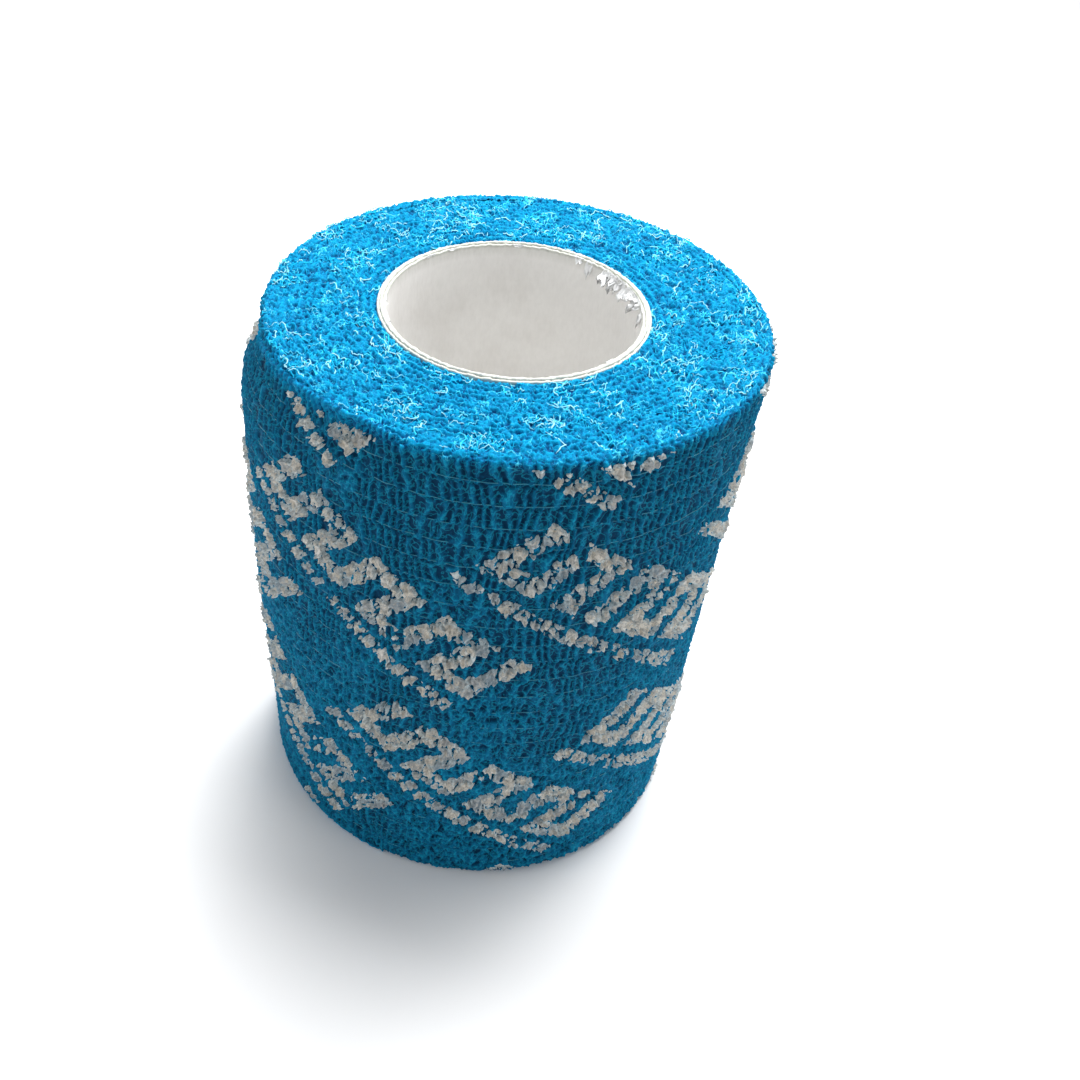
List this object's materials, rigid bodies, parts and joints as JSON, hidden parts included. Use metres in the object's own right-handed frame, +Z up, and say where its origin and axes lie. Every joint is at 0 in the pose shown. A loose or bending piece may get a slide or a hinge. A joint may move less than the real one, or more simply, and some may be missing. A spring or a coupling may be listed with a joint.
{
  "type": "cohesive hand wrap roll",
  "caption": "Roll of crinkled elastic cohesive hand wrap wound on a paper core, with a printed face and a loose tail that peels away from the roll.",
  "frame": {"origin": "on the core's axis at the base face, where the standing roll rests", "axes": "+Z up along the core's bore, -Y towards the front of the roll, +X to the right; the tail leaves the roll at the front left and lies over its left side"},
  "size_m": [0.0657, 0.0625, 0.075],
  "materials": {
    "core_liner_paper": "smooth pale grey paper liner, matte",
    "core_paper": "white paperboard, matte, slightly fuzzy at cut edges",
    "starter_adhesive": "tacky adhesive film, satin",
    "back_web_fabric": "crinkled nonwoven with a tacky latex coat, matte",
    "face_web_fabric": "crinkled nonwoven with a tacky latex coat, matte",
    "latex_binder": "thin dyed latex, satin",
    "elastane_thread": "fine elastic yarn, satin",
    "ink": "raised matt off-white print, cracked by the crinkle"
  },
  "bodies": {
    "roll": {"core_inner_ply": "core_liner_paper", "core_middle_ply": "core_paper", "core_outer_ply": "core_paper", "starter_tape": "starter_adhesive", "wound_back_web": "back_web_fabric", "wound_binder": "latex_binder", "wound_elastane_threads": "elastane_thread", "wound_face_web": "face_web_fabric", "wound_ink": "ink"},
    "tail_1": {"tail_1_back_web": "back_web_fabric", "tail_1_binder": "latex_binder", "tail_1_elastane_threads": "elastane_thread", "tail_1_face_web": "face_web_fabric", "tail_1_ink": "ink"},
    "tail_2": {"tail_2_back_web": "back_web_fabric", "tail_2_binder": "latex_binder", "tail_2_elastane_threads": "elastane_thread", "tail_2_face_web": "face_web_fabric", "tail_2_ink": "ink"},
    "tail_3": {"tail_3_back_web": "back_web_fabric", "tail_3_binder": "latex_binder", "tail_3_elastane_threads": "elastane_thread", "tail_3_face_web": "face_web_fabric", "tail_3_ink": "ink"},
    "tail_4": {"tail_4_back_web": "back_web_fabric", "tail_4_binder": "latex_binder", "tail_4_elastane_threads": "elastane_thread", "tail_4_face_web": "face_web_fabric", "tail_4_ink": "ink"},
    "tail_5": {"tail_5_back_web": "back_web_fabric", "tail_5_binder": "latex_binder", "tail_5_elastane_threads": "elastane_thread", "tail_5_face_web": "face_web_fabric", "tail_5_ink": "ink"}
  },
  "joints": [
    {"name": "tail_peel_1", "type": "hinge", "parent": "roll", "child": "tail_1", "pos_m": [-0.01073, -0.02949, 0.0365], "axis": [0, 0, 1], "range_deg": [0, 24]},
    {"name": "tail_peel_2", "type": "hinge", "parent": "tail_1", "child": "tail_2", "pos_m": [-0.01822, -0.02572, 0.0365], "axis": [0, 0, 1], "range_deg": [0, 24]},
    {"name": "tail_peel_3", "type": "hinge", "parent": "tail_2", "child": "tail_3", "pos_m": [-0.02464, -0.02033, 0.0365], "axis": [0, 0, 1], "range_deg": [0, 24]},
    {"name": "tail_peel_4", "type": "hinge", "parent": "tail_3", "child": "tail_4", "pos_m": [-0.02963, -0.0136, 0.0365], "axis": [0, 0, 1], "range_deg": [0, 24]},
    {"name": "tail_peel_5", "type": "hinge", "parent": "tail_4", "child": "tail_5", "pos_m": [-0.03293, -0.0059, 0.0365], "axis": [0, 0, 1], "range_deg": [0, 24]}
  ],
  "couplings": [
    {"joint": "tail_peel_2", "follows": "tail_peel_1", "ratio": 1},
    {"joint": "tail_peel_3", "follows": "tail_peel_1", "ratio": 1},
    {"joint": "tail_peel_4", "follows": "tail_peel_1", "ratio": 1},
    {"joint": "tail_peel_5", "follows": "tail_peel_1", "ratio": 1}
  ]
}
